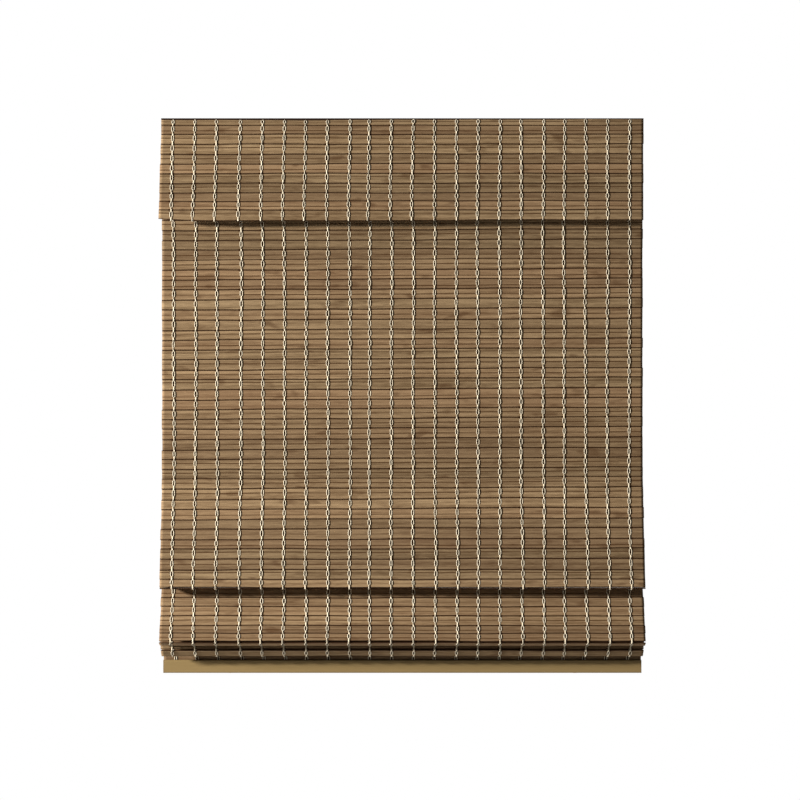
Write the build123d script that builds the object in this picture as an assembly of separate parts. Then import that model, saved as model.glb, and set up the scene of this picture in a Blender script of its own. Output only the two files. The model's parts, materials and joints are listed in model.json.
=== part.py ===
from build123d import *
import os
from math import cos, degrees, radians, sin

# Bamboo roman shade for a 24 inch wide opening, half lowered: a mat of split bamboo slats
# woven on cotton threads hangs from a shallow metal headrail, and its lower part is gathered
# into three soft folds above a wooden bottom rail. A short valance of the same mat covers
# the headrail. A spring motor in the headrail balances the weight, so there is no pull cord.
# X runs across the shade, -Y faces the room and +Z is up. The origin is the middle of the
# plane that the two brackets are screwed against.

# Mat
shade_width = 610.0
slat_pitch = 12.6
slat_thickness = 1.6
slat_bevel = 0.55
weave_web = 0.5
mat_top = -2.2

# Warp threads, a ridge in front and one behind on each line; every so many lines, here the
# first and the last, they are bands that reach the folds' axes
thread_count = 22
bands_every_count = 21
thread_margin = 16.2
thread_width = 4.6
thread_thickness = 0.4
thread_end = 1.0
thread_play = 0.12

# Folds: gap between two panels, and room between the threads of two folded panels
fold_gap = 0.4
fold_clearance = 0.4
seat_gap = 0.3

# Each panel of the mat from the top down: its length in average slats, and its lean from
# straight down (positive leans towards the room)
panel_slats = {
    "upper": 14,
    "fourth_fold_front": 9,
    "fourth_fold_back": 9,
    "first_fold_top": 4,
    "first_fold_front": 11,
    "first_fold_back": 2,
    "second_fold_front": 6,
    "second_fold_turn": 1,
    "second_fold_back": 6,
    "third_fold_front": 6.3,
    "third_fold_turn": 1,
    "third_fold_back": 6,
    "skirt": 7,
}
panel_leans = {
    "upper": 0.0,
    "fourth_fold_front": 0.0,
    "fourth_fold_back": 0.0,
    "first_fold_top": 0.0,
    "first_fold_front": 12.0,
    "first_fold_back": -102.0,
    "second_fold_front": 25.0,
    "second_fold_turn": -67.0,
    "second_fold_back": -158.0,
    "third_fold_front": 18.5,
    "third_fold_turn": -48.0,
    "third_fold_back": -166.0,
    "skirt": 0.0,
}
panels = [(name, panel_slats[name], panel_leans[name]) for name in panel_slats]
ring_panels = ["fourth_fold_front", "first_fold_top", "second_fold_front", "third_fold_front"]
# Folds that are flat at rest: the side on which their threads hinge, +1 is the room side
flat_fold_side = {"fourth_fold_front": 1, "fourth_fold_back": -1, "first_fold_top": 1}

# Valance
valance_lean = 6.7
valance_top = -2.6
valance_edge_slat = 7.2
valance_slats = 10
valance_pitch = 12.05

# Headrail channel and its end caps
headrail_depth = 43.0
headrail_height = 30.0
headrail_wall = 1.2
headrail_lip = 5.0
cap_thickness = 2.0
cap_plug = 8.0
cap_wall = 1.5
cap_corner = 2.0

# Mounting brackets
bracket_thickness = 1.6
bracket_length = 44.0
bracket_inset = 70.0
bracket_hole = 2.5
bracket_hole_spacing = 20.0
bracket_toe = 2.6

# Batten that clamps the mat to the headrail
batten_thickness = 4.0
batten_height = 22.0
batten_top = -0.6
screw_radius = 1.5
screw_head_radius = 3.0
screw_head = 1.6
screw_depth = 3.0
screw_clearance = 0.3
screw_fit = 0.05
screw_spacing = 150.0
screw_count = 4

# Lift gear
shaft_side = 5.0
shaft_drop = 0.2
bore_clearance = 0.1
running_clearance = 0.06
cord_column = 2.5
spool_length = 16.0
spool_core = 6.0
spool_flange = 9.6
flange_thickness = 1.5
journal_radius = 4.0
journal_length = 3.0
cradle_wall = 2.0
cradle_width = 26.0
cradle_base = 2.0
side_play = 0.3
outlet_offset = 4.0
outlet_radius = 3.2
grommet_rim = 1.6
grommet_wall = 1.0

# Spring motor
motor_length = 44.0
motor_play = 0.4
motor_wall = 1.8
motor_headroom = 4.4
motor_cover = 1.2
drum_length = 14.0
drum_room = 3.4
drum_front_room = 1.9
drum_rim = 1.0
storage_radius = 3.4
coil_inset = 0.8
pin_radius = 2.0
strip_thickness = 0.4
strip_width = 10.0

# Back rings and bottom rail
ring_radius = 6.0
ring_hole = 4.0
ring_thickness = 1.5
rail_height = 16.6
rail_depth = 8.0
rail_corner = 1.5
rail_grip = 6.6
rail_slot_play = 0.6
rail_cap = 2.0
anchor_radius = 2.4
anchor_length = 6.0
anchor_head_radius = 3.7
anchor_head = 0.8

half_slat = slat_thickness / 2
mat_skin = half_slat + thread_thickness
fold_axis = mat_skin + fold_clearance / 2
headrail_front = -headrail_depth / 2
mat_y = headrail_front - seat_gap - mat_skin
batten_back = mat_y - mat_skin - seat_gap
batten_front = batten_back - batten_thickness
valance_y = batten_front - seat_gap - mat_skin
headrail_top = -bracket_thickness - seat_gap
headrail_floor = headrail_top - headrail_height + headrail_wall
headrail_length = shade_width - 2 * cap_thickness
thread_spacing = (shade_width - 2 * thread_margin) / (thread_count - 1)
thread_x = [-shade_width / 2 + thread_margin + i * thread_spacing for i in range(thread_count)]
cord_x = shade_width / 2 - thread_margin - cord_column * thread_spacing
motor_height = headrail_height - motor_headroom
motor_depth = headrail_depth - 2 * (headrail_wall + motor_play)
drum_flange = (motor_depth - 2 * motor_wall - drum_room) / 4
drum_radius = drum_flange - drum_rim
coil_radius = drum_flange - coil_inset
shaft_y = motor_wall + drum_flange + drum_front_room - motor_depth / 2
storage_y = motor_depth / 2 - motor_wall - drum_flange - side_play
outlet_y = shaft_y - outlet_offset
shaft_z = headrail_top - headrail_height / 2 - shaft_drop
bracket_x = shade_width / 2 - bracket_inset
screw_z = batten_top - batten_height / 2


def point(frame, along, out):
    """A point of a panel: along its length from the top, and out towards the room."""
    y, z, lean = frame
    return (y - along * sin(lean) - out * cos(lean), z - along * cos(lean) + out * sin(lean))


def prism(outline, x_start, length):
    """A closed outline of (y, z) points, carried along X."""
    corners = [(x_start, y, z) for y, z in outline]
    return extrude(make_face(Polyline(*corners, close=True)), amount=length, dir=(1, 0, 0))


def box_between(low, high):
    size = [b - a for a, b in zip(low, high)]
    return Pos(*low) * Box(*size, align=(Align.MIN, Align.MIN, Align.MIN))


def cylinder_x(radius, x_start, length, y, z):
    return Pos(x_start + length / 2, y, z) * Rot(0, 90, 0) * Cylinder(radius, length)


def post(radius, length, corners=12):
    """A bar along Z for small round pieces, with a fixed number of flats round it."""
    return extrude(RegularPolygon(radius, corners), amount=length / 2, both=True)


def post_y(radius, y_start, length, x, z):
    return Pos(x, y_start + length / 2, z) * Rot(90, 0, 0) * post(radius, length)


def hang_panels():
    """Where each panel starts, the axis that it turns on and that axis's side of the mat."""
    frames, axes, sides = {}, {}, {}
    y, z, lean = mat_y, mat_top, 0.0
    for name, slats, lean_degrees in panels:
        turned = radians(lean_degrees)
        if frames:
            side = flat_fold_side.get(name, 1 if turned > lean else -1)
            axis = point((y, z, lean), 0, side * fold_axis)
            y, z = point((axis[0], axis[1], turned), 0, -side * fold_axis)
            axes[name], sides[name] = axis, side
        frames[name] = (y, z, turned)
        lean = turned
        y, z = point(frames[name], slats * slat_pitch, 0)
    return frames, axes, sides


def slat_heights(slats):
    """Equal slats that fill a panel whose length is given in average slats."""
    count = max(1, round(slats))
    return [slats * slat_pitch / count] * count


def mat_outline(heights, frame):
    """The mat's section: bevelled slats one below another, joined by a thin web of threads."""
    front, along = [(fold_gap / 2, weave_web / 2)], 0.0
    for i, height in enumerate(heights):
        front += [(along + slat_bevel, half_slat), (along + height - slat_bevel, half_slat)]
        along += height
        if i < len(heights) - 1:
            front.append((along, weave_web / 2))
    front.append((along - fold_gap / 2, weave_web / 2))
    back = [(a, -n) for a, n in reversed(front)]
    return [point(frame, a, n) for a, n in front + back]


def woven_mat(heights, frame):
    return prism(mat_outline(heights, frame), -shade_width / 2, shade_width)


def thread_ridge(length, frame, side):
    """A ridge of thread, three-sided in section, down one side of a panel."""
    low, high = side * half_slat, side * mat_skin
    section = ((-thread_width / 2, low), (thread_width / 2, low), (0, high))
    corners = [(x, *point(frame, thread_end, out)) for x, out in section]
    way = (0, -sin(frame[2]), -cos(frame[2]))
    return extrude(make_face(Polyline(*corners, close=True)), amount=length - 2 * thread_end, dir=way)


def thread_band(length, frame, side, nose_at_start, nose_at_end):
    """A flat band of thread, with a nose that reaches the axis of the fold at either end."""
    near, far, tip = side * half_slat, side * mat_skin, side * (fold_axis - thread_play / 2)
    corners = [(thread_end, near), (length - thread_end, near)]
    if nose_at_end:
        corners += [(length - thread_play, tip), (length - 2 * thread_end, far)]
    else:
        corners.append((length - thread_end, far))
    if nose_at_start:
        corners += [(2 * thread_end, far), (thread_play, tip)]
    else:
        corners.append((thread_end, far))
    return prism([point(frame, a, n) for a, n in corners], -thread_width / 2, thread_width)


def warp_threads(length, frame, start_side=0, end_side=0):
    """Thread down the front and the back of a panel, on every thread line."""
    threads = []
    for side in (1, -1):
        band = thread_band(length, frame, side, side == start_side, side == end_side)
        ridge = thread_ridge(length, frame, side)
        for i, x in enumerate(thread_x):
            threads.append(Pos(x, 0, 0) * (ridge if i % bands_every_count else band))
    return threads


def cord_rings(frame):
    """Two flat rings sewn to the back of a panel's first slat, between the thread lines."""
    y, z = point(frame, slat_pitch / 2, -half_slat - ring_thickness / 2)
    ring = post(ring_radius, ring_thickness, 16) - post(ring_hole, ring_thickness, 16)
    turn = Rot(90 - degrees(frame[2]), 0, 0)
    return [Pos(x, y, z) * turn * ring for x in (-cord_x, cord_x)]


def headrail_channel():
    """A folded metal channel, open at the top between two inward lips."""
    y, top, wall = headrail_depth / 2, headrail_top, headrail_wall
    floor, bottom = headrail_floor, headrail_floor - headrail_wall
    half = [(headrail_lip - y, top), (-y, top), (-y, bottom)]
    inner = [(wall - y, floor), (wall - y, top - wall), (headrail_lip - y, top - wall)]
    outline = half + [(-a, b) for a, b in reversed(half)]
    outline += [(-a, b) for a, b in reversed(inner)] + inner
    channel = prism(outline, -headrail_length / 2, headrail_length)
    for x in (-cord_x, cord_x):
        channel -= Pos(x, outlet_y, floor) * post(outlet_radius + grommet_wall, 4 * wall)
    for x in screw_places():
        channel -= post_y(screw_radius + screw_clearance, -y - wall, 3 * wall, x, screw_z)
    return channel


def end_cap(side):
    """A moulded cap with a hollow plug that slides into the channel's end."""
    y, x = headrail_depth / 2, side * headrail_length / 2
    middle = headrail_top - headrail_height / 2
    plate = Box(cap_thickness, headrail_depth, headrail_height)
    plate = fillet(plate.edges().filter_by(Axis.X), cap_corner)
    plug_depth = headrail_depth - 2 * (headrail_wall + seat_gap)
    plug_height = headrail_height - 2 * (headrail_wall + seat_gap)
    plug = Box(cap_plug, plug_depth, plug_height)
    plug -= Box(cap_plug, plug_depth - 2 * cap_wall, plug_height - 2 * cap_wall)
    plate = Pos(side * cap_thickness / 2, 0, 0) * plate
    plug = Pos(-side * cap_plug / 2, 0, 0) * plug
    return Pos(x, 0, middle) * (plate + plug)


def mounting_bracket(side):
    """A pressed plate under the window head, with two hooks that hold the channel's lips."""
    throat = headrail_depth / 2 - headrail_lip - seat_gap
    x, t = side * bracket_x - bracket_length / 2, bracket_thickness
    under = headrail_top - headrail_wall - seat_gap
    toe = throat + bracket_toe
    half = [(-toe, under), (-toe, under - t), (t - throat, under - t), (t - throat, -t)]
    outline = [(-throat, 0), (-throat, under)] + half
    outline += [(-a, b) for a, b in reversed(outline)]
    bracket = prism(outline, x, bracket_length)
    for y in (-bracket_hole_spacing / 2, bracket_hole_spacing / 2):
        bracket -= Pos(side * bracket_x, y, 0) * Cylinder(bracket_hole, 4 * t)
    return bracket


def screw_places():
    middle = (screw_count - 1) / 2
    return [(i - middle) * screw_spacing for i in range(screw_count)]


def drill_mat(mat):
    for x in screw_places():
        y = mat_y - slat_thickness
        mat -= post_y(screw_radius + screw_clearance, y, 2 * slat_thickness, x, screw_z)
    return mat


def mat_batten():
    low = (-shade_width / 2, batten_front, batten_top - batten_height)
    high = (shade_width / 2, batten_back, batten_top)
    batten = box_between(low, high)
    for x in screw_places():
        y = batten_back - screw_depth - screw_clearance
        batten -= post_y(screw_radius + screw_fit, y, 2 * screw_depth, x, screw_z)
    return batten


def batten_screws():
    """Pan screws from inside the channel, through the mat, into the batten."""
    inside = headrail_front + headrail_wall
    shank = inside - batten_back + screw_depth
    screws = []
    for x in screw_places():
        head = post_y(screw_head_radius, inside, screw_head, x, screw_z)
        screws.append(head + post_y(screw_radius, inside - shank, shank, x, screw_z))
    return screws


def cord_spool(side):
    """A reel with two flanges and a round bearing journal at each end, on a square bore."""
    half = spool_length / 2
    end = half + flange_thickness + journal_length
    body = post(spool_core, spool_length) + Cylinder(journal_radius, 2 * end)
    for z in (-half - flange_thickness / 2, half + flange_thickness / 2):
        body += Pos(0, 0, z) * post(spool_flange, flange_thickness)
    body -= Box(shaft_side + 2 * bore_clearance, shaft_side + 2 * bore_clearance, 3 * end)
    return Pos(side * cord_x, shaft_y, shaft_z) * Rot(0, 90, 0) * body


def cord_cradle(side):
    """Two uprights on a base, with a round seat for each of the spool's journals."""
    inner = spool_length / 2 + flange_thickness + side_play
    outer = inner + cradle_wall
    back = shaft_y + cradle_width / 2
    front = max(shaft_y - cradle_width / 2, headrail_front + headrail_wall + seat_gap)
    top = shaft_z + journal_radius + cradle_wall
    cradle = box_between((-outer, front, headrail_floor), (outer, back, headrail_floor + cradle_base))
    for x in (-outer, inner):
        low = (x, shaft_y - journal_radius - cradle_wall, headrail_floor + cradle_base)
        high = (x + cradle_wall, shaft_y + journal_radius + cradle_wall, top)
        cradle += box_between(low, high)
    cradle -= cylinder_x(journal_radius + running_clearance, -2 * outer, 4 * outer, shaft_y, shaft_z)
    cradle -= Pos(0, outlet_y, headrail_floor) * post(outlet_radius + 2 * grommet_rim, 4 * cradle_base)
    return Pos(side * cord_x, 0, 0) * cradle


def cord_grommets():
    """Smooth bushes that line the two cord outlets in the channel's floor."""
    seat, rim, floor = outlet_radius + grommet_wall, grommet_rim / 2, headrail_floor
    bush = Pos(0, 0, floor - headrail_wall / 2) * post(seat, headrail_wall)
    bush += Pos(0, 0, floor - headrail_wall - rim / 2) * post(seat + grommet_rim, rim)
    bush += Pos(0, 0, floor + rim / 2) * post(seat + rim, rim)
    bush -= Pos(0, 0, floor) * post(outlet_radius, 4 * headrail_wall)
    return [Pos(x, outlet_y, 0) * bush for x in (-cord_x, cord_x)]


def lift_shaft():
    end = cord_x + spool_length / 2 + flange_thickness + journal_length + cradle_wall
    low = (-end, shaft_y - shaft_side / 2, shaft_z - shaft_side / 2)
    high = (end, shaft_y + shaft_side / 2, shaft_z + shaft_side / 2)
    return box_between(low, high)


def flanged_drum(radius):
    flange = post(drum_flange, flange_thickness, 16)
    z = (drum_length + flange_thickness) / 2
    return post(radius, drum_length, 16) + Pos(0, 0, z) * flange + Pos(0, 0, -z) * flange


def drive_drum():
    """A flanged drum with a round journal at each end, on the lift shaft's square bore."""
    body = flanged_drum(drum_radius) + Cylinder(journal_radius, motor_length - 2 * side_play)
    body -= Box(shaft_side + 2 * bore_clearance, shaft_side + 2 * bore_clearance, 2 * motor_length)
    return Pos(0, shaft_y, shaft_z) * Rot(0, 90, 0) * body


def storage_drum():
    body = flanged_drum(storage_radius) - Cylinder(pin_radius + running_clearance, 2 * drum_length)
    return Pos(0, storage_y, shaft_z) * Rot(0, 90, 0) * body


def motor_case():
    """An open-topped tray that carries the drive drum's journals and the storage drum's pin."""
    x, y = motor_length / 2, motor_depth / 2
    low = (-x, -y, headrail_floor)
    high = (x, y, headrail_floor + motor_height - motor_cover)
    inner_low = (motor_wall - x, motor_wall - y, headrail_floor + motor_wall)
    inner_high = (x - motor_wall, y - motor_wall, headrail_floor + motor_height)
    case = box_between(low, high) - box_between(inner_low, inner_high)
    case -= cylinder_x(journal_radius + running_clearance, -2 * x, 4 * x, shaft_y, shaft_z)
    hole = Rot(0, 90, 0) * post(pin_radius + bore_clearance + screw_fit, 4 * x)
    return case - Pos(0, storage_y, shaft_z) * hole


def motor_lid():
    x, y = motor_length / 2, motor_depth / 2
    top = headrail_floor + motor_height
    return box_between((-x, -y, top - motor_cover), (x, y, top))


def spring_coil():
    coil = post(coil_radius, strip_width, 16) - post(storage_radius, strip_width, 16)
    return Pos(0, storage_y, shaft_z) * Rot(0, 90, 0) * coil


def spring_strip():
    """The stretch of steel strip that runs from the storage coil over to the drive drum."""
    top = shaft_z + coil_radius + seat_gap
    low = (-strip_width / 2, shaft_y, top)
    return box_between(low, (strip_width / 2, storage_y, top + strip_thickness))


def bottom_rail(frame):
    """A planed wooden bar with rounded edges and a slot in its top edge for the mat."""
    length = shade_width - 2 * rail_cap
    rail = Box(length, rail_depth, rail_height)
    rail = fillet(rail.edges().filter_by(Axis.X), rail_corner)
    rail = Pos(0, frame[0], rail_top - rail_height / 2) * rail - rail_slot(frame)
    for x in (-cord_x, cord_x):
        rail -= anchor_hole(x, frame)
    return rail


def rail_slot(frame):
    half = mat_skin + seat_gap / 2
    low = (-shade_width, frame[0] - half, rail_top - rail_grip - rail_slot_play)
    return box_between(low, (shade_width, frame[0] + half, rail_top + rail_grip))


def anchor_hole(x, frame):
    stem = post(anchor_radius + screw_fit, 2 * (anchor_length + screw_clearance))
    head = post(anchor_head_radius + screw_fit, 2 * anchor_head)
    return Pos(x, frame[0], rail_top - rail_height) * (stem + head)


def rail_anchors(frame):
    """Two pegs sunk into the rail's underside, where the lift cords would be knotted."""
    bottom = rail_top - rail_height
    pegs = []
    for x in (-cord_x, cord_x):
        stem = Pos(0, 0, anchor_length / 2) * post(anchor_radius, anchor_length)
        head = Pos(0, 0, anchor_head / 2) * post(anchor_head_radius, anchor_head)
        pegs.append(Pos(x, frame[0], bottom) * (stem + head))
    return pegs


def rail_end_cap(side, frame):
    cap = Box(rail_cap, rail_depth, rail_height)
    cap = fillet(cap.edges().filter_by(Axis.X), rail_corner)
    x = side * (shade_width - rail_cap) / 2
    return Pos(x, frame[0], rail_top - rail_height / 2) * cap - rail_slot(frame)


def save(name, shape):
    solids = shape if isinstance(shape, list) else [shape]
    export_step(Compound(label=name, children=solids), "parts/" + name + ".step")


os.makedirs("parts", exist_ok=True)
frames, axes, sides = hang_panels()
rail_top = point(frames["skirt"], panel_slats["skirt"] * slat_pitch, 0)[1] + rail_grip

next_sides = dict(zip(frames, list(sides.values()) + [0]))
for name, slats, lean_degrees in panels:
    mat = woven_mat(slat_heights(slats), frames[name])
    threads = warp_threads(slats * slat_pitch, frames[name], sides.get(name, 0), next_sides[name])
    save("mat_" + name, drill_mat(mat) if name == "upper" else mat)
    save("threads_" + name, threads)
for name in ring_panels:
    save("rings_" + name, cord_rings(frames[name]))

valance_heights = [valance_edge_slat] + [valance_pitch] * valance_slats
valance_frame = (valance_y, valance_top, radians(valance_lean))
save("valance_mat", woven_mat(valance_heights, valance_frame))
save("valance_threads", warp_threads(sum(valance_heights), valance_frame))

save("headrail_channel", headrail_channel())
save("mat_batten", mat_batten())
save("batten_screws", batten_screws())
save("cord_grommets", cord_grommets())
for side, word in ((-1, "left"), (1, "right")):
    save("headrail_cap_" + word, end_cap(side))
    save("mounting_bracket_" + word, mounting_bracket(side))
    save("cord_spool_" + word, cord_spool(side))
    save("cord_cradle_" + word, cord_cradle(side))
    save("rail_cap_" + word, rail_end_cap(side, frames["skirt"]))

save("lift_shaft", lift_shaft())
save("motor_case", motor_case())
save("motor_lid", motor_lid())
save("drive_drum", drive_drum())
save("storage_drum", storage_drum())
save("storage_pin", cylinder_x(pin_radius, -motor_length / 2, motor_length, storage_y, shaft_z))
save("spring_coil", spring_coil())
save("spring_strip", spring_strip())

save("bottom_rail", bottom_rail(frames["skirt"]))
save("rail_anchors", rail_anchors(frames["skirt"]))
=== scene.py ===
import json
import math
from collections import namedtuple
import bpy
import numpy as np
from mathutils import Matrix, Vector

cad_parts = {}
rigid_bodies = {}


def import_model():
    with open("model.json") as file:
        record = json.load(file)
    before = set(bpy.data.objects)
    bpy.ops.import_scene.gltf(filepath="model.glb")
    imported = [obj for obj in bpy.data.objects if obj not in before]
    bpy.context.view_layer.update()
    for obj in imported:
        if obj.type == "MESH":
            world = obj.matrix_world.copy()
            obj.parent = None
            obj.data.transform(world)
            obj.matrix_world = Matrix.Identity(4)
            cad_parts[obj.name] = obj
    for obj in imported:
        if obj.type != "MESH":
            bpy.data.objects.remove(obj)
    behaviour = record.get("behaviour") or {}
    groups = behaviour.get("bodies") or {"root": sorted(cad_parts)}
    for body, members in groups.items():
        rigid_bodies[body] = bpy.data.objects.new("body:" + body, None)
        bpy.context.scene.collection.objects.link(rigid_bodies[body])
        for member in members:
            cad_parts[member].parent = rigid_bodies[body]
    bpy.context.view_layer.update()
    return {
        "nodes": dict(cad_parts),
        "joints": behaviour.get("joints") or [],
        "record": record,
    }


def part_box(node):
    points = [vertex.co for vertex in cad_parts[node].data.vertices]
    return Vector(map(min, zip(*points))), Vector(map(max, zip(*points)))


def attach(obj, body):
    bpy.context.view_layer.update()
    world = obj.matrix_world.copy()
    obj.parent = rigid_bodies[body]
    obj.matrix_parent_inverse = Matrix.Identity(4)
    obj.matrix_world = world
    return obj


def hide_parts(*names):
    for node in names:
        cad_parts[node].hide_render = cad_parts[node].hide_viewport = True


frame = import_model()

# The photograph's view. The shade fills 481 of 800 pixels with its 610 mm, and its outline widens
# towards the camera as it would from 2.5 m away. The camera looks level, along +Y.
photo_pixels = 800
pixels_per_metre = 789.0
view_distance = 2.5
camera_x, camera_z = -0.0030, -0.3569
sensor_width = 36.0
mat_low, mat_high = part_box("mat_upper")
mat_plane = (mat_low.y + mat_high.y) / 2
shade_width = mat_high.x - mat_low.x
camera_data = bpy.data.cameras.new("photo_camera")
camera_data.sensor_width = sensor_width
camera_data.lens = pixels_per_metre * view_distance * sensor_width / photo_pixels
camera = bpy.data.objects.new("photo_camera", camera_data)
camera.location = (camera_x, mat_plane - view_distance, camera_z)
camera.rotation_euler = (math.radians(90), 0, 0)
bpy.context.scene.collection.objects.link(camera)
bpy.context.scene.camera = camera
bpy.context.scene.view_settings.view_transform = "Standard"


# The studio. The key lamp stands to the left and a little above, so that each fold and the valance
# cast a short shadow down the mat. It is tilted down, so the lower folds get a little more light.
def linear(hex_colour):
    """An sRGB hex colour as linear red, green, blue and alpha."""
    shares = [int(hex_colour[i:i + 2], 16) / 255 for i in (0, 2, 4)]
    return [s / 12.92 if s <= 0.04045 else ((s + 0.055) / 1.055) ** 2.4 for s in shares] + [1.0]


def add_node(tree, kind, inputs=(), **settings):
    """Adds a node, sets its properties, and sets or links its inputs by name or number."""
    made = tree.nodes.new(kind)
    for key, value in settings.items():
        setattr(made, key, value)
    for key, value in dict(inputs).items():
        if isinstance(value, bpy.types.NodeSocket):
            tree.links.new(value, made.inputs[key])
        else:
            made.inputs[key].default_value = value
    return made


def add_lamp(name, place, target, size, power, colour):
    """A square lamp of that size at a place, turned to face the target."""
    lamp_data = bpy.data.lights.new(name, "AREA")
    lamp_data.size = size
    lamp_data.energy = power
    lamp_data.color = linear(colour)[:3]
    lamp = bpy.data.objects.new(name, lamp_data)
    direction = np.array(target) - np.array(place)
    pan = math.atan2(direction[0], direction[1])
    lift = math.atan2(direction[2], math.hypot(direction[0], direction[1]))
    lamp.rotation_euler = (math.radians(90) + lift, 0, -pan)
    lamp.location = place
    bpy.context.scene.collection.objects.link(lamp)


shade_middle = (0.0, mat_plane, -0.35)
below_shade = (0.0, mat_plane, -3.0)
add_lamp("key_lamp", (-3.35, -1.42, 0.25), below_shade, size=0.30, power=358.0, colour="FFFBF5")
add_lamp("front_lamp", (0.4, -3.2, 0.5), shade_middle, size=2.2, power=2.5, colour="FFFDFA")
add_lamp("back_lamp", (0.8, 2.6, 0.6), shade_middle, size=2.0, power=45.0, colour="FFFDFA")


def seen_directly(tree):
    """1 for what the camera sees, also by way of gloss or glass, and 0 for light between surfaces."""
    rays = add_node(tree, "ShaderNodeLightPath")
    seen = rays.outputs["Is Camera Ray"]
    for way in ("Is Glossy Ray", "Is Transmission Ray"):
        either = add_node(tree, "ShaderNodeMath", {0: seen, 1: rays.outputs[way]}, operation="MAXIMUM")
        seen = either.outputs[0]
    return seen


# The room round the shade is seen white, but lights it only faintly.
room_light = 0.055
world = bpy.data.worlds.new("studio")
world.use_nodes = True
world.node_tree.nodes.clear()
strength = add_node(world.node_tree, "ShaderNodeMapRange", {"Value": seen_directly(world.node_tree),
                    "To Min": room_light, "To Max": 1.0})
sky = add_node(world.node_tree, "ShaderNodeBackground", {"Color": (1.0, 1.0, 1.0, 1.0),
               "Strength": strength.outputs["Result"]})
add_node(world.node_tree, "ShaderNodeOutputWorld", {"Surface": sky.outputs[0]})
bpy.context.scene.world = world


# The pale floor is far below the shade. It is seen pale, but gives the shade less light back than a
# pale floor would, as in a room with darker walls, so the underside of each fold stays dark.
def new_material(name):
    """A material with its node tree and its Principled shader."""
    material = bpy.data.materials.new(name)
    material.use_nodes = True
    return material, material.node_tree, material.node_tree.nodes["Principled BSDF"]


floor_drop = 1.45
floor_half = 2.7
floor_mesh = bpy.data.meshes.new("studio_floor")
square = [(-1, -1), (1, -1), (1, 1), (-1, 1)]
floor_mesh.from_pydata([(x * floor_half, y * floor_half, -floor_drop) for x, y in square], [], [(0, 1, 2, 3)])
studio_floor = bpy.data.objects.new("studio_floor", floor_mesh)
bpy.context.scene.collection.objects.link(studio_floor)
floor_paint, floor_tree, floor_shader = new_material("pale_floor_paint")
floor_tone = add_node(floor_tree, "ShaderNodeMix", {0: seen_directly(floor_tree), 6: linear("8E8C88"),
                      7: linear("F2F1EF")}, data_type="RGBA")
floor_tree.links.new(floor_tone.outputs[2], floor_shader.inputs["Base Color"])
floor_shader.inputs["Roughness"].default_value = 0.85
floor_mesh.materials.append(floor_paint)


# Two mounting brackets, stamped and bent from steel strip and screwed up under the window head.
# Their zinc plating is grey and half bright, with the rolled strip's grain still in it.
def grained_finish(name, light, dark, roughness, grain, relief, stretch=1.0, metallic=0.0, shine=0.4):
    """A finish on object coordinates. Noise with marks that are grain metres apart, and stretch times
    as long along X, mixes two colours, moves the roughness and lifts the surface by the relief."""
    roughness_swing = 0.06
    material, tree, shader = new_material(name)
    place = add_node(tree, "ShaderNodeTexCoord")
    scaled = add_node(tree, "ShaderNodeMapping", {"Vector": place.outputs["Object"],
                      "Scale": (1 / (grain * stretch), 1 / grain, 1 / grain)})
    noise = add_node(tree, "ShaderNodeTexNoise", {"Vector": scaled.outputs[0], "Scale": 1.0, "Detail": 4.0})
    marks = noise.outputs["Fac"]
    mixed = add_node(tree, "ShaderNodeMix", {0: marks, 6: linear(dark), 7: linear(light)}, data_type="RGBA")
    rough = add_node(tree, "ShaderNodeMapRange", {"Value": marks, "To Min": roughness - roughness_swing,
                     "To Max": roughness + roughness_swing})
    bump = add_node(tree, "ShaderNodeBump", {"Height": marks, "Distance": relief, "Strength": 0.4})
    tree.links.new(mixed.outputs[2], shader.inputs["Base Color"])
    tree.links.new(rough.outputs["Result"], shader.inputs["Roughness"])
    tree.links.new(bump.outputs[0], shader.inputs["Normal"])
    shader.inputs["Metallic"].default_value = metallic
    shader.inputs["Specular IOR Level"].default_value = shine
    return material


def finish_solids(slot, material):
    """Gives the material to every CAD node that the record lists under that slot."""
    for row in frame["record"]["subparts"]:
        if row["material_slot"] == slot:
            materials = frame["nodes"][row["node"]].data.materials
            materials.clear()
            materials.append(material)


finish_solids("bracket_steel", grained_finish("zinc_plated_steel", "B9BABA", "9C9E9F", roughness=0.38,
              grain=0.0008, relief=0.00004, stretch=6.0, metallic=1.0))

# The headrail is a shallow channel folded from sheet metal. Its baked powder coat is off-white and
# satin, with a fine ripple that is drawn at 0.9 mm, coarser than the real one, so that it shows.
finish_solids("channel_metal", grained_finish("powder_coated_channel", "E4E0D6", "DAD5C9", roughness=0.45,
              grain=0.0009, relief=0.00006))

# End caps, motor case and lid, drums, spools, cradles and the bushes in the headrail's floor are
# moulded in natural nylon. It is ivory and satin, and a little cloudy where the melt flowed.
finish_solids("plastic", grained_finish("moulded_nylon", "DCD8CE", "D2CDC1", roughness=0.5,
              grain=0.0012, relief=0.00005))

# Lift shaft, storage pin, spring strip with its coil, and the batten's screws are plain drawn or
# rolled steel. Fine draw lines run along the shaft, lighter and darker by turns.
finish_solids("steel", grained_finish("drawn_steel", "A6A7A8", "8E9092", roughness=0.30,
              grain=0.0006, relief=0.00003, stretch=20.0, metallic=1.0))

# The batten is a strip of softwood that four screws draw against the headrail, with the mat between
# them. It is stained dark brown and left dull, and its open grain shows as fine ridges.
finish_solids("batten_wood", grained_finish("dark_stained_batten", "2A1B10", "1A0F08", roughness=0.6,
              grain=0.0012, relief=0.0002, stretch=12.0, shine=0.1))

# Split bamboo slats: strips split from the wall of a culm, planed flat, browned by steam and left
# unlacquered, so they are dull with a faint sheen. Fibres run along each slat, joints of the culm
# leave dark patches, and cracks are darker than the face. The dark bands at the cut edges are partly
# the edges' own colour and partly painted shade in the gaps between the slats.
slat_height = 0.0126
slat_thickness = 0.0016


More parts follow.
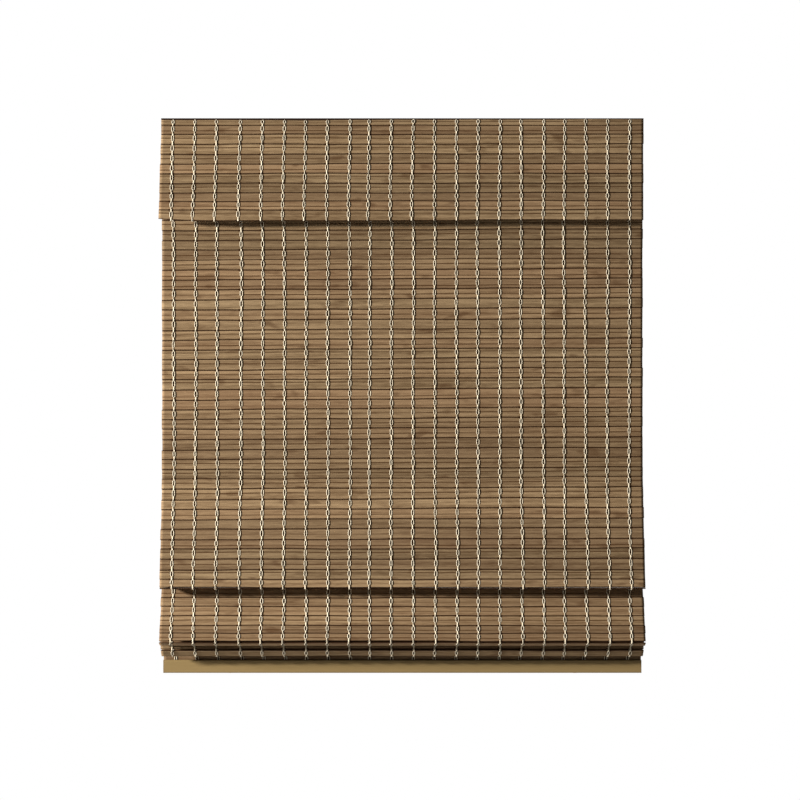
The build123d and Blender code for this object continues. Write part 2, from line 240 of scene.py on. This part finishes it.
def bamboo_material():
    """The slats' UV map holds metres along the slat, and the slat's number plus the share of its
    height. A second map counts thread lines along the slat. Widths given as shares are shares of a
    slat's height, or near the thread lines of the distance between two of them."""
    material, tree, shader = new_material("carbonised_split_bamboo")

    def arithmetic(kind, a, b=0.0, c=0.0):
        return add_node(tree, "ShaderNodeMath", {0: a, 1: b, 2: c}, operation=kind).outputs[0]

    def ramp(value, low, high, to_low=0.0, to_high=1.0):
        limits = {"Value": value, "From Min": low, "From Max": high, "To Min": to_low, "To Max": to_high}
        return add_node(tree, "ShaderNodeMapRange", limits, interpolation_type="SMOOTHSTEP").outputs["Result"]

    def blend_colours(share_of_second, one, two):
        mixed = add_node(tree, "ShaderNodeMix", {0: share_of_second, 6: one, 7: two}, data_type="RGBA")
        return mixed.outputs[2]

    slat_lines = add_node(tree, "ShaderNodeUVMap", uv_map="slat_lines")
    axes = add_node(tree, "ShaderNodeSeparateXYZ", {0: slat_lines.outputs[0]})
    along, across = axes.outputs["X"], axes.outputs["Y"]
    slat = arithmetic("FLOOR", across)
    share = arithmetic("FRACT", across)
    dice = add_node(tree, "ShaderNodeTexWhiteNoise", {"W": slat}, noise_dimensions="1D")
    throws = add_node(tree, "ShaderNodeSeparateXYZ", {0: dice.outputs["Color"]})
    first, second, third = (throws.outputs[i] for i in range(3))
    longest_shift = 40.0

    def pattern(length, width, slat_step, detail, rough):
        """Noise with marks of that length and width in metres. Each slat starts at another place in
        it and lies slat_step marks deeper than the slat above, so that no two slats look alike."""
        x = arithmetic("MULTIPLY_ADD", along, 1 / length, arithmetic("MULTIPLY", first, longest_shift))
        y = arithmetic("MULTIPLY", share, slat_height / width)
        z = arithmetic("MULTIPLY", slat, slat_step)
        vector = add_node(tree, "ShaderNodeCombineXYZ", {0: x, 1: y, 2: z})
        noise = add_node(tree, "ShaderNodeTexNoise", {"Vector": vector.outputs[0], "Scale": 1.0,
                         "Detail": detail, "Roughness": rough})
        return noise.outputs["Fac"]

    # Bundles of fibres, broader streaks of colour, and patches at the culm's joints. A real bundle is
    # about 0.4 mm wide, and is drawn at 1 mm so that it shows.
    fibres = pattern(length=0.0167, width=0.00097, slat_step=7.3, detail=5.0, rough=0.68)
    streaks = pattern(length=0.143, width=0.00394, slat_step=3.1, detail=3.0, rough=0.5)
    patches = pattern(length=0.0385, width=0.0140, slat_step=13.7, detail=2.0, rough=0.5)
    tone = arithmetic("ADD", arithmetic("MULTIPLY", ramp(fibres, 0.25, 0.75), 0.45),
                      arithmetic("MULTIPLY", ramp(streaks, 0.2, 0.8), 0.55))
    face = blend_colours(tone, linear("4F3922"), linear("AB9270"))
    warm = blend_colours(ramp(second, 0.0, 1.0, 0.0, 0.34), face, linear("84634A"))
    level = ramp(third, 0.0, 1.0, 0.84, 1.16)
    levelled = add_node(tree, "ShaderNodeVectorMath", {0: warm, "Scale": level}, operation="SCALE").outputs[0]
    knotted = blend_colours(ramp(patches, 0.60, 0.74, 0.0, 0.55), levelled, linear("4E341E"))

    # One long crack in most slats, between 28% and 70% of the way down the face.
    crack_middle, crack_rim = 0.024, 0.062
    crack_place = arithmetic("MULTIPLY_ADD", second, 0.42, 0.28)
    crack_off = arithmetic("ABSOLUTE", arithmetic("SUBTRACT", share, crack_place))
    crack_on = arithmetic("MULTIPLY", ramp(first, 0.12, 0.30, 0.1, 1.0), ramp(streaks, 0.34, 0.50, 0.25, 1.0))
    crack = arithmetic("MULTIPLY", ramp(crack_off, crack_middle, crack_rim, 0.9, 0.0), crack_on)
    cracked = blend_colours(crack, knotted, linear("402407"))

    # The face is dark inside each loop of thread, where the strands shade it.
    loop_middle, loop_rim = 0.045, 0.105
    thread_marks = add_node(tree, "ShaderNodeUVMap", uv_map="thread_marks")
    line = add_node(tree, "ShaderNodeSeparateXYZ", {0: thread_marks.outputs[0]}).outputs["X"]
    from_line = arithmetic("SUBTRACT", arithmetic("FRACT", arithmetic("ADD", line, 0.5)), 0.5)
    off_line = arithmetic("ABSOLUTE", from_line)
    looped = arithmetic("MULTIPLY", ramp(share, 0.08, 0.20), ramp(share, 0.58, 0.72, 1.0, 0.0))
    inside = arithmetic("MULTIPLY", ramp(off_line, loop_middle, loop_rim, 0.80, 0.0), looped)
    shaded = blend_colours(inside, cracked, linear("33200E"))

    # The cut edges are darker than the face, partly by their own colour and partly by painted shade in
    # the gaps between slats. The painted shade reaches further in where the threads pinch the slats.
    edge_middle, edge_rim = 0.042, 0.106
    pinch_middle, pinch_rim, pinch_depth = 0.07, 0.16, 0.035
    pinched_gap_shade = ramp(off_line, pinch_middle, pinch_rim, pinch_depth, 0.0)
    edge = arithmetic("SUBTRACT", arithmetic("MINIMUM", share, arithmetic("SUBTRACT", 1.0, share)), pinched_gap_shade)
    edge_colour_and_gap_shade = blend_colours(ramp(edge, edge_middle, edge_rim, 0.96, 0.0), shaded, linear("271000"))
    tree.links.new(edge_colour_and_gap_shade, shader.inputs["Base Color"])
    tree.links.new(ramp(fibres, 0.2, 0.8, 0.72, 0.52), shader.inputs["Roughness"])
    shader.inputs["Specular IOR Level"].default_value = 0.08
    relief = arithmetic("SUBTRACT", arithmetic("MULTIPLY", fibres, 0.5), crack)
    bump = add_node(tree, "ShaderNodeBump", {"Height": relief, "Distance": 0.0005, "Strength": 0.55})
    tree.links.new(bump.outputs[0], shader.inputs["Normal"])
    return material


bamboo = bamboo_material()

# The mat hangs as one length of slats from the headrail's batten. Each run of slats between two
# folds takes its place and slope from its plain solid, and slats are numbered from the top.
fold_gap = 0.0004
fold_axis = 0.0014
above_shade = np.array([mat_plane, 0.1])
Run = namedtuple("Run", "start down face length sway")


def chain_of_runs():
    """The runs of the mat from the top down, as (body, node), followed from joint to joint."""
    chain, body = [("headrail", "mat_upper")], "headrail"
    while True:
        below = [j["child"] for j in frame["joints"] if j["parent"] == body
                 and "mat_" + j["child"] in frame["nodes"]]
        if not below:
            return chain
        body = below[0]
        chain.append((body, "mat_" + body))


def run_frame(node, above, sway=0.0):
    """Start, direction down the mat, direction out of its face, and length, all in the YZ plane,
    and how far the run sways to the left for each metre down. The direction is the longest axis
    of the node's section, pointing away from the point above."""
    mesh = frame["nodes"][node].data
    corners = np.zeros(len(mesh.vertices) * 3)
    mesh.vertices.foreach_get("co", corners)
    section = np.unique(np.round(corners.reshape(-1, 3)[:, 1:], 6), axis=0)
    middle = (section.min(0) + section.max(0)) / 2
    down = np.linalg.svd(section - section.mean(0), full_matrices=False)[2][0]
    reach = (section - middle) @ down
    middle = middle + down * (reach.min() + reach.max()) / 2
    if (middle - above) @ down < 0:
        down = -down
    length = reach.max() - reach.min() + fold_gap
    out = np.array([down[1], -down[0]])
    across = (section - middle) @ out
    middle = middle + out * (across.min() + across.max()) / 2
    return Run(middle - down * length / 2, down, out, length, sway)


# Slats are split by hand: their edges wave by a few tenths of a millimetre and lie up to 4.5% of a
# slat off their place, and their ends fall up to 0.9 mm short. The rows climb towards the right, by
# nearly four millimetres half way down. At the folds they are level, so that no run parts from the
# next one when the shade is lowered. The random numbers are drawn for up to 140 slats.
random = np.random.default_rng(24)
most_slats = 140
wave_counts = np.array([1.0, 2.3, 4.1, 7.7])
wave_sizes = np.array([0.00030, 0.00022, 0.00016, 0.00010])
wave_phases = random.uniform(0, 2 * math.pi, (most_slats, len(wave_counts)))
warp_counts = np.array([1.3, 3.4, 1.1])
warp_sizes = np.array([0.00016, 0.00012, 0.00014])
warp_phases = random.uniform(0, 2 * math.pi, (most_slats, len(warp_counts)))
short_ends = random.uniform(0.0, 0.0009, (most_slats, 2))
edge_shifts = slat_height * random.uniform(-0.045, 0.045, most_slats)
climb_places = [0.0, 0.19, 0.355, 0.48, 0.588]
climb_heights = [0.0006, 0.0029, 0.0038, 0.0036, 0.0]

# The 22 thread lines stand 27.5 mm apart, a few of them a little more or less, and wander. Each line
# follows two slow sines of the slat's number, with a spare third phase, and every loop is thrown
# a little further.
lines = 22
line_gap = 0.02755
lines_span = 0.5771
side_margin = 0.0152
line_gaps = np.full(lines - 1, line_gap)
line_gaps[[2, 8, 13, 17]] = [0.0298, 0.0250, 0.0264, 0.0262]
line_gaps *= lines_span / line_gaps.sum()
half_width = shade_width / 2
thread_lines = side_margin - half_width + np.concatenate([[0.0], np.cumsum(line_gaps)])
wander_rates = np.array([0.11, 0.39])
wander_sizes = np.array([0.0005, 0.0003])
wander_phases = random.uniform(0, 2 * math.pi, (lines, 3))[:, :2]
loop_throws = random.uniform(-1, 1, (most_slats, lines, 3))
loop_stagger = 0.00012


def line_drift(slats):
    """How far each thread line has wandered sideways at each slat: two sines of its number, and a
    throw of its own for each slat."""
    waves = wander_sizes * np.sin(wander_rates * slats[:, None, None] + wander_phases)
    return waves.sum(2) + loop_stagger * loop_throws[slats, :, 1]


def edge_lines(numbers, places, x):
    """Each slat edge's distance down the mat at each x: its place plus a sum of four sines whose
    phases belong to that edge."""
    turns = 2 * math.pi * x[None, :, None] / shade_width * wave_counts + wave_phases[numbers][:, None, :]
    return places[:, None] + (np.sin(turns) * wave_sizes).sum(2)


def closed_tubes(name, points, uvs, material, marks=None):
    """Tubes on a grid (tube, step along, place round) joined to their neighbours, with end caps."""
    tubes, steps, around = points.shape[:3]
    index = np.arange(tubes * steps * around).reshape(tubes, steps, around)
    a, b = index[:, :-1], index[:, 1:]
    quads = np.stack([a, np.roll(a, -1, 2), np.roll(b, -1, 2), b], -1).reshape(-1, 4)
    starts, ends = index[:, 0, ::-1], index[:, -1]
    faces = quads.tolist() + starts.tolist() + ends.tolist()
    mesh = bpy.data.meshes.new(name)
    mesh.from_pydata(points.reshape(-1, 3).tolist(), [], faces)
    smooth = np.zeros(len(faces), bool)
    smooth[:len(quads)] = True
    mesh.polygons.foreach_set("use_smooth", smooth)
    corner = np.zeros(len(mesh.loops), np.int32)
    mesh.loops.foreach_get("vertex_index", corner)
    maps = {"slat_lines": uvs} if marks is None else {"slat_lines": uvs, "thread_marks": marks}
    for map_name, values in maps.items():
        layer = mesh.uv_layers.new(name=map_name)
        layer.data.foreach_set("uv", values.reshape(-1, 2)[corner].ravel().astype(np.float32))
    mesh.materials.append(material)
    piece = bpy.data.objects.new(name, mesh)
    bpy.context.scene.collection.objects.link(piece)
    return piece


def place_on_run(x, down_mat, out, run, climb):
    """Turns x, distance down the run and distance out of its face into points of the shade, and
    lifts them in proportion to x, so that a row climbs by the given height over its width."""
    y = run.start[0] + down_mat * run.down[0] + out * run.face[0]
    z = run.start[1] + down_mat * run.down[1] + out * run.face[1] + climb * x / shade_width
    return np.stack(np.broadcast_arrays(x - run.sway * down_mat, y, z), -1)


def signed_power(values, power):
    """The power of each value's size, with the value's own sign."""
    return np.sign(values) * np.abs(values) ** power


# A slat is set out at each thread line, at two places between neighbours, and close to its ends. Its
# face fills 97% of its share of the UV map, so that no edge takes the next slat's number.
slat_round = 16
map_reach = 0.485
end_step = 0.004
between = [a * (1 - s) + b * s for a, b in zip(thread_lines, thread_lines[1:]) for s in (1 / 3, 2 / 3)]
near_ends = [-half_width, -half_width + end_step, half_width - end_step, half_width]
stations = np.sort(np.concatenate([thread_lines, between, near_ends]))


def slat_run(name, body, node, run, numbers, places, climbs, lift=0.0, tuck=0.0):
    """A run of slats. Each one's section is a rounded bar: half its height times cos^0.28 and half
    its thickness times sin^0.55 of the angle round it, between two wavy edge lines. Two sines of
    the distance along it bow it out of the mat's plane, and a third twists it."""
    angle = 2 * math.pi * (np.arange(slat_round) + 0.5) / slat_round
    across = signed_power(np.cos(angle), 0.28)
    across = across / across.max()
    thick = signed_power(np.sin(angle), 0.55)
    edges = edge_lines(numbers, places, stations) + lift
    edges[0] -= tuck
    top, bottom = edges[:-1, :, None], edges[1:, :, None]
    down_mat = (top + bottom) / 2 + (bottom - top) / 2 * across
    own = numbers[:-1]
    share = stations / shade_width + 0.5
    warps = warp_sizes * np.sin(2 * math.pi * warp_counts * share[:, None] + warp_phases[own][:, None])
    bow, twist = warps[:, :, :2].sum(2, keepdims=True), warps[:, :, 2:]
    out = slat_thickness / 2 * thick + bow + twist * across
    x = np.tile(stations, (len(own), 1))
    x[:, 0] += short_ends[own, 0]
    x[:, -1] -= short_ends[own, 1]
    climb = (climbs[:-1, None, None] * (1 - across) + climbs[1:, None, None] * (1 + across)) / 2
    points = place_on_run(x[:, :, None], down_mat, out, run, climb)
    face_share = own[:, None, None] + 0.5 + map_reach * across
    uvs = np.stack(np.broadcast_arrays(x[:, :, None], face_share), -1)
    line_numbers = np.arange(float(lines))
    marks = [np.interp(row, thread_lines + drift, line_numbers) for row, drift in zip(x, line_drift(own))]
    beyond = x - np.clip(x, thread_lines[0], thread_lines[-1])
    marks = np.array(marks) + beyond / line_gap
    marks = np.stack(np.broadcast_arrays(marks[:, :, None], face_share), -1)
    piece = closed_tubes(name, points, uvs, bamboo, marks)
    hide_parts(node)
    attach(piece, body)


# Cotton warp: pairs of soft cream strands knit down the mat on 22 lines. Below each slat edge the
# two strands part into a loop round the next slat, then lie together again over its lower part.
# The spun yarn is matt and a little hairy, and catches light at its rim.
def cotton_material():
    """The strands' UV map is in millimetres, round them and along them."""
    fleck_size = 2.86
    material, tree, shader = new_material("cream_cotton_warp")
    place = add_node(tree, "ShaderNodeUVMap", uv_map="slat_lines")
    # At a scale of 1 the bands lie 0.63 mm apart, as the turns of a two-ply yarn do.
    twist = add_node(tree, "ShaderNodeTexWave", {"Vector": place.outputs[0], "Scale": 1.0, "Distortion": 1.2},
                     wave_type="BANDS", bands_direction="DIAGONAL")
    fleck = add_node(tree, "ShaderNodeTexNoise", {"Vector": place.outputs[0], "Scale": 1 / fleck_size,
                     "Detail": 3.0})
    mixed = add_node(tree, "ShaderNodeMix", {0: fleck.outputs["Fac"], 6: linear("D9CBAD"),
                     7: linear("F7EEDA")}, data_type="RGBA")
    bump = add_node(tree, "ShaderNodeBump", {"Height": twist.outputs["Fac"], "Distance": 0.0003,
                    "Strength": 0.5})
    tree.links.new(mixed.outputs[2], shader.inputs["Base Color"])
    tree.links.new(bump.outputs[0], shader.inputs["Normal"])
    shader.inputs["Roughness"].default_value = 0.88
    shader.inputs["Specular IOR Level"].default_value = 0.2
    shader.inputs["Sheen Weight"].default_value = 0.25
    shader.inputs["Sheen Roughness"].default_value = 0.5
    return material


cotton = cotton_material()
strand_radius = 0.00056
strand_depth = 0.00038
strand_round = 5
round_step = 0.7
loop_half_width = 0.00114
joined_half_width = 0.00034
loop_start, loop_end = 0.10, 0.70
loop_variation = 0.16
plait_depth = 0.00022
sink_share, sink_depth = 0.055, 0.00045
back_half_width, back_swell = 0.0004, 0.0005
least_turn = 0.04
thread_steps = np.array([0.0, 0.10, 0.17, 0.26, 0.40, 0.54, 0.63, 0.70, 0.86])


def fold_arc(x, down_mat, lift, climb, face, bend, way):
    """A strand's two places on its half of the arc about a fold's axis, half way and all the way
    round, on the run's upper end for a way of -1 and on its lower end for 1."""
    turn = max(-face * bend / 2, least_turn)
    reach = fold_axis + lift
    return [(x, down_mat + way * reach * math.sin(part * turn),
             face * (reach * math.cos(part * turn) - fold_axis), climb) for part in (0.5, 1.0)]


def thread_run(name, body, node, run, numbers, places, climbs, bends):
    """The strands on one run. Along each slat the two front strands stand apart by a fixed amount
    plus the loop's width times sin^0.2 over the loop's share, and sink into the slat gaps. On the
    outside of a fold they go half way round an arc about the fold's axis, where the next run's
    strands meet them. Two plain strands lie behind the slats."""
    edges = np.stack([edge_lines(numbers, places, np.array([x]))[:, 0] for x in thread_lines], 1)
    heights = np.diff(edges, axis=0)
    steps = edges[:-1, None] + heights[:, None] * thread_steps[:, None]
    down_mat = np.concatenate([steps.reshape(-1, lines), edges[-1:]])
    share = np.append(np.tile(thread_steps, len(heights)), 1.0)[:, None]
    slat = np.append(np.repeat(numbers[:-1], len(thread_steps)), numbers[-1] - 1)
    throws = loop_throws[slat]
    through = np.clip((share - loop_start) / (loop_end - loop_start), 0, 1)
    open_loop = np.clip(np.sin(math.pi * through), 0, 1) ** 0.2
    apart = joined_half_width + loop_half_width * open_loop * (1 + loop_variation * throws[:, :, 0])
    drift = line_drift(np.arange(numbers[0], numbers[-1] + 1))
    steady = drift[:-1, None] * (1 - thread_steps[:, None]) + drift[1:, None] * thread_steps[:, None]
    middle = thread_lines + np.concatenate([steady.reshape(-1, lines), drift[-1:]])
    near_gap = np.exp(-((np.minimum(share, 1 - share) / sink_share) ** 2))
    proud = slat_thickness / 2 + strand_depth - sink_depth * near_gap
    plait = plait_depth * (1 - open_loop) * np.sign(throws[:, :, 2])
    behind = back_half_width + back_swell * np.sin(math.pi * share) ** 2
    climb = np.interp(down_mat, places, climbs)
    strands = [(middle + side * apart, proud + side * plait, 1) for side in (-1, 1)]
    strands += [(middle + side * behind, proud + 0 * plait, -1) for side in (-1, 1)]
    angle = 2 * math.pi * np.arange(strand_round) / strand_round
    tubes, lengths = [], []
    for x, lift, face in strands:
        upper = fold_arc(x[0], down_mat[0], lift[0], climb[0], face, bends[0], -1)
        lower = fold_arc(x[-1], down_mat[-1], lift[-1], climb[-1], face, bends[1], 1)
        rows = upper[::-1] + list(zip(x, down_mat, face * lift, climb)) + lower
        strand_x, along, away, rise = np.array(rows).transpose(1, 2, 0)[..., None]
        ring_x = strand_x + strand_radius * np.cos(angle)
        ring_out = away + strand_depth * np.sin(angle)
        tubes.append(place_on_run(ring_x, along, ring_out, run, rise))
        lengths.append(along)
    millimetres = 1000 * np.concatenate(lengths)
    uvs = np.stack(np.broadcast_arrays(round_step * np.arange(strand_round), millimetres), -1)
    piece = closed_tubes(name, np.concatenate(tubes), uvs, cotton)
    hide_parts(node)
    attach(piece, body)


def slat_places(length, last_heights):
    """Slat edges down a run: equal slats, and below them slats of the heights given."""
    rest = length - sum(last_heights)
    count = max(1, round(rest / slat_height))
    return np.concatenate([[0.0], np.cumsum([rest / count] * count + list(last_heights))])


# The hanging mat: thirteen runs, slats and threads of each on the body of its plain solid. The slats
# in sight on the first two folds have the heights that they have in the photograph. Two of the folds'
# fronts are tucked half a millimetre under the run above, where the mat bends only slightly.
hand_split = {"mat_first_fold_front": [0.0096],
              "mat_second_fold_front": [0.0126, 0.0117, 0.0120, 0.0126, 0.0100, 0.0105]}
tucks = {"mat_first_fold_front": 0.0005, "mat_fourth_fold_front": 0.0005}
runs, above = [], above_shade
for body, node in chain_of_runs():
    run = run_frame(node, above)
    above = run.start + run.down * run.length
    runs.append((body, node, run))
leans = [math.atan2(-run.down[0], -run.down[1]) for body, node, run in runs]
bends = [0.0] + [b - a for a, b in zip(leans, leans[1:])] + [0.0]
number, mat_place = 0, 0.0
for i, (body, node, run) in enumerate(runs):
    places = slat_places(run.length, hand_split.get(node, []))
    numbers = number + np.arange(len(places))
    places[1:-1] += edge_shifts[numbers[1:-1]]
    climbs = np.interp(mat_place + places, climb_places, climb_heights)
    name = node[len("mat_"):]
    slat_run("slats_" + name, body, node, run, numbers, places, climbs, tuck=tucks.get(node, 0.0))
    thread_run("warp_" + name, body, "threads_" + name, run, numbers, places, climbs, bends[i:i + 2])
    number += len(places) - 1
    mat_place += run.length

# Small rings, moulded in white acetal, are sewn to the back of the mat beside four of its fold lines.
# Acetal is hard and glossy, and shows hardly any grain.
finish_solids("ring_plastic", grained_finish("moulded_acetal_ring", "E6E3DA", "DAD6CB", roughness=0.25,
              grain=0.0010, relief=0.00003))

# The valance: a short length of the same mat that hangs over the headrail, a little askew. Its top
# slat is cut narrow. The left end of its lowest slat has sprung up, by 2.6 mm times a falling
# exponential of x, and takes the edge above a little way along.
valance_heights = np.array([7.4, 11.5, 12.8, 12.8, 12.5, 12.4, 12.7, 12.2, 10.5, 11.5, 13.4]) / 1000
valance_run = run_frame("valance_mat", above_shade, sway=0.0125)
valance_places = np.concatenate([[0.0], np.cumsum(valance_heights)])
valance_numbers = number + np.arange(len(valance_places))
valance_climbs = np.linspace(0.0007, 0.0012, len(valance_places))
sprung_heights = np.array([0.0006, 0.0026])
sprung_length = 0.030
sprung_end = np.zeros((len(valance_places), len(stations)))
sprung_end[-2:] = -np.outer(sprung_heights, np.exp(-(stations + half_width) / sprung_length))
slat_run("slats_valance", "headrail", "valance_mat", valance_run, valance_numbers, valance_places,
         valance_climbs, lift=sprung_end)
thread_run("warp_valance", "headrail", "valance_threads", valance_run, valance_numbers, valance_places,
           valance_climbs, (0.0, 0.0))

# The bottom rail is a planed strip of hardwood with eased edges and a satin lacquer, which fills the
# grain and leaves it as fine, long marks under a smooth skin.
finish_solids("rail_wood", grained_finish("lacquered_rail_wood", "917C54", "846F4A", roughness=0.46,
              grain=0.0030, relief=0.00005, stretch=30.0, shine=0.15))

# The rail's end caps and the anchors under it are moulded in a plastic of the lacquered wood's
# colour, satin, with a faint texture from the mould.
finish_solids("rail_cap_plastic", grained_finish("rail_cap_moulding", "86704A", "7C663F", roughness=0.5,
              grain=0.001, relief=0.00004))
